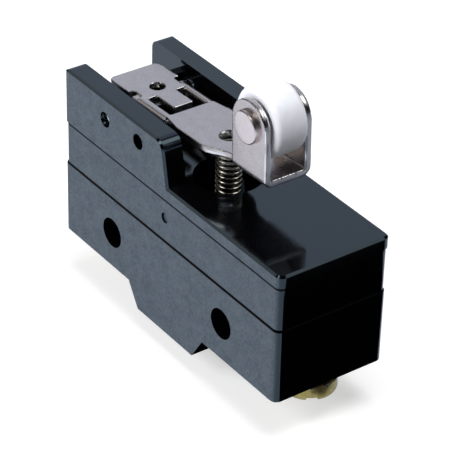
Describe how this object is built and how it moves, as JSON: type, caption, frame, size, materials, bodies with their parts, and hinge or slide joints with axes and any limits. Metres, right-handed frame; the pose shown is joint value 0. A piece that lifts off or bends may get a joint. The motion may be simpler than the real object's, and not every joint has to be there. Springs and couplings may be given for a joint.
{
  "type": "lever micro switch",
  "caption": "Snap-action limit switch with a short hinged roller lever, layered rectangular moulded body, cross mounting holes and screw terminals underneath.",
  "frame": {"origin": "midway between the two mounting holes' centres, at mid width", "axes": "+X from the hinge end to the roller end, +Z from the screw terminals to the lever, +Y along the mounting holes to the far side; the pictured side faces -Y"},
  "size_m": [0.0492, 0.0174, 0.0435],
  "materials": {
    "moulding": "fine matt thermoset",
    "moulding_gloss": "gloss top, matt sides",
    "stainless_sheet": "satin",
    "bright_steel": "bright",
    "roller_nylon": "smooth white",
    "plunger_plastic": "smooth",
    "terminal_brass": "nickel washed",
    "screw_brass": "plated, slightly dull",
    "spring_copper": "beryllium copper strip",
    "contact_silver": "silver"
  },
  "bodies": {
    "housing": {"case": "moulding", "middle_cover": "moulding", "lever_housing": "moulding_gloss", "hinge_pin": "bright_steel", "com_terminal": "terminal_brass", "nc_terminal": "terminal_brass", "no_terminal": "terminal_brass", "anchor_rivet": "terminal_brass", "nc_contact": "contact_silver", "no_contact": "contact_silver", "com_screw": "screw_brass", "com_washer": "bright_steel", "no_screw": "screw_brass", "no_washer": "bright_steel", "nc_screw": "screw_brass", "nc_washer": "bright_steel"},
    "lever_arm": {"lever": "stainless_sheet", "roller_rivet": "bright_steel"},
    "roller_wheel": {"roller": "roller_nylon"},
    "plunger": {"pin_plunger": "plunger_plastic", "spring_guide": "bright_steel", "return_spring": "bright_steel"},
    "blade": {"snap_spring": "spring_copper", "moving_contact": "contact_silver"}
  },
  "joints": [
    {"name": "lever_hinge", "type": "hinge", "parent": "housing", "child": "lever_arm", "pos_m": [-0.01435, 0, 0.01702], "axis": [0, 1, 0], "range_deg": [0, 8.5], "stiffness_Nm_per_rad": 0.35, "springref_deg": -6.88, "deforming": ["return_spring"]},
    {"name": "roller_spin", "type": "hinge", "parent": "lever_arm", "child": "roller_wheel", "pos_m": [0.01041, 0, 0.02672], "axis": [0, 1, 0], "continuous": true},
    {"name": "plunger_slide", "type": "slide", "parent": "housing", "child": "plunger", "axis": [0, 0, -1], "range_m": [0, 0.00048]},
    {"name": "blade_rock", "type": "hinge", "parent": "housing", "child": "blade", "pos_m": [-0.0132, 0, 0.0064], "axis": [0, 1, 0], "range_deg": [0, 1.2]}
  ],
  "couplings": [
    {"joint": "plunger_slide", "follows": "lever_hinge", "m_per_rad": 0.003},
    {"joint": "blade_rock", "follows": "lever_hinge", "ratio": 0.1176}
  ]
}
